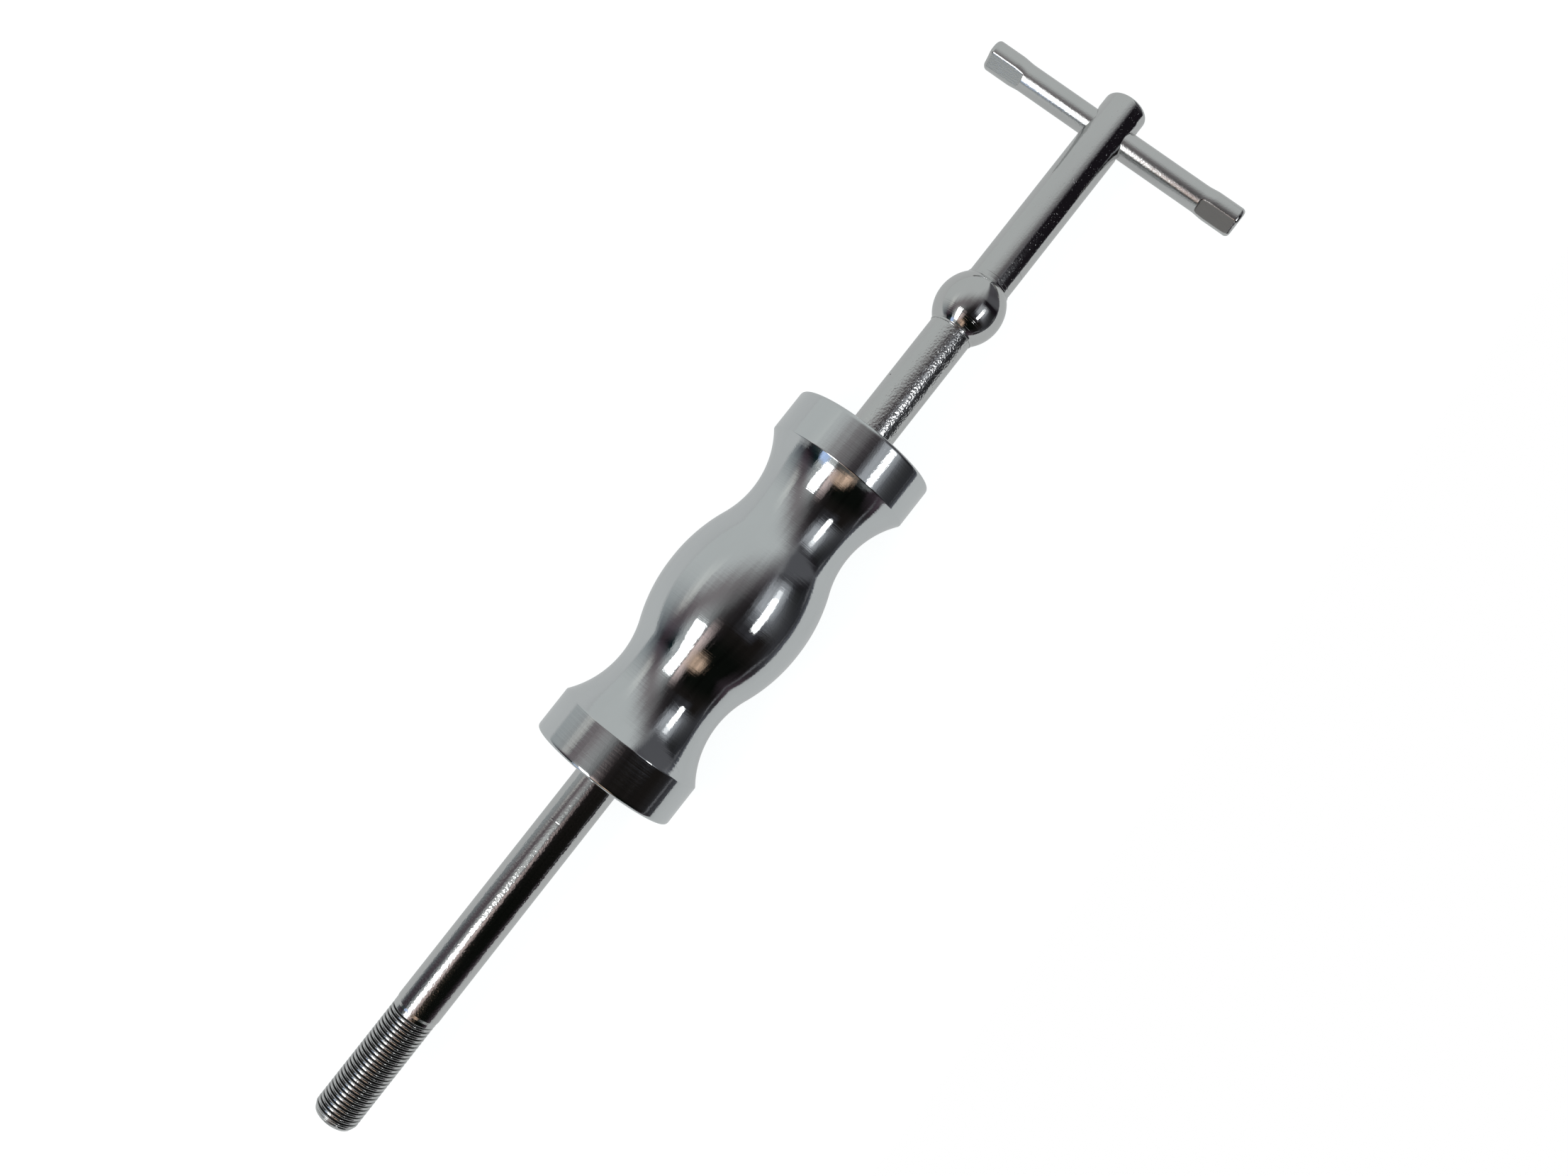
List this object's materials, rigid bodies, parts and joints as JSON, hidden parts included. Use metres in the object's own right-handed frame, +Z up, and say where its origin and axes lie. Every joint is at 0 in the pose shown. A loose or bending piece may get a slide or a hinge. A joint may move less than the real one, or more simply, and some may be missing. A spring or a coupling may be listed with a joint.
{
  "type": "slide hammer puller",
  "caption": "Slide hammer puller: a plated steel shaft with a threaded end for a puller head, a waisted sliding weight, a stop ball and a loose tee bar.",
  "frame": {"origin": "on the shaft's axis at the foot of the shoulder, where the thread's plain collar ends", "axes": "-X along the shaft out of its threaded end, +X towards the tee bar, Y along the tee bar, +Z up when the tool lies on its weight"},
  "size_m": [0.4383, 0.106, 0.0548],
  "materials": {
    "shaft_steel": "polished plating with fine scratches, brighter on the crests of the thread",
    "weight_chrome": "polished plating over faint turning marks",
    "ball_chrome": "polished plating with fine polishing lines",
    "bar_steel": "plating over a rougher bar, dull on the pressed flats"
  },
  "bodies": {
    "shaft": {"shaft": "shaft_steel", "stop_ball": "ball_chrome"},
    "sliding_weight": {"sliding_weight": "weight_chrome"},
    "tee_bar": {"tee_bar": "bar_steel"}
  },
  "joints": [
    {"name": "weight_slide", "type": "slide", "parent": "shaft", "child": "sliding_weight", "axis": [1, 0, 0], "range_m": [-0.0974, 0.049]},
    {"name": "tee_bar_slide", "type": "slide", "parent": "shaft", "child": "tee_bar", "axis": [0, 1, 0], "range_m": [-0.0278, 0.0326]}
  ]
}
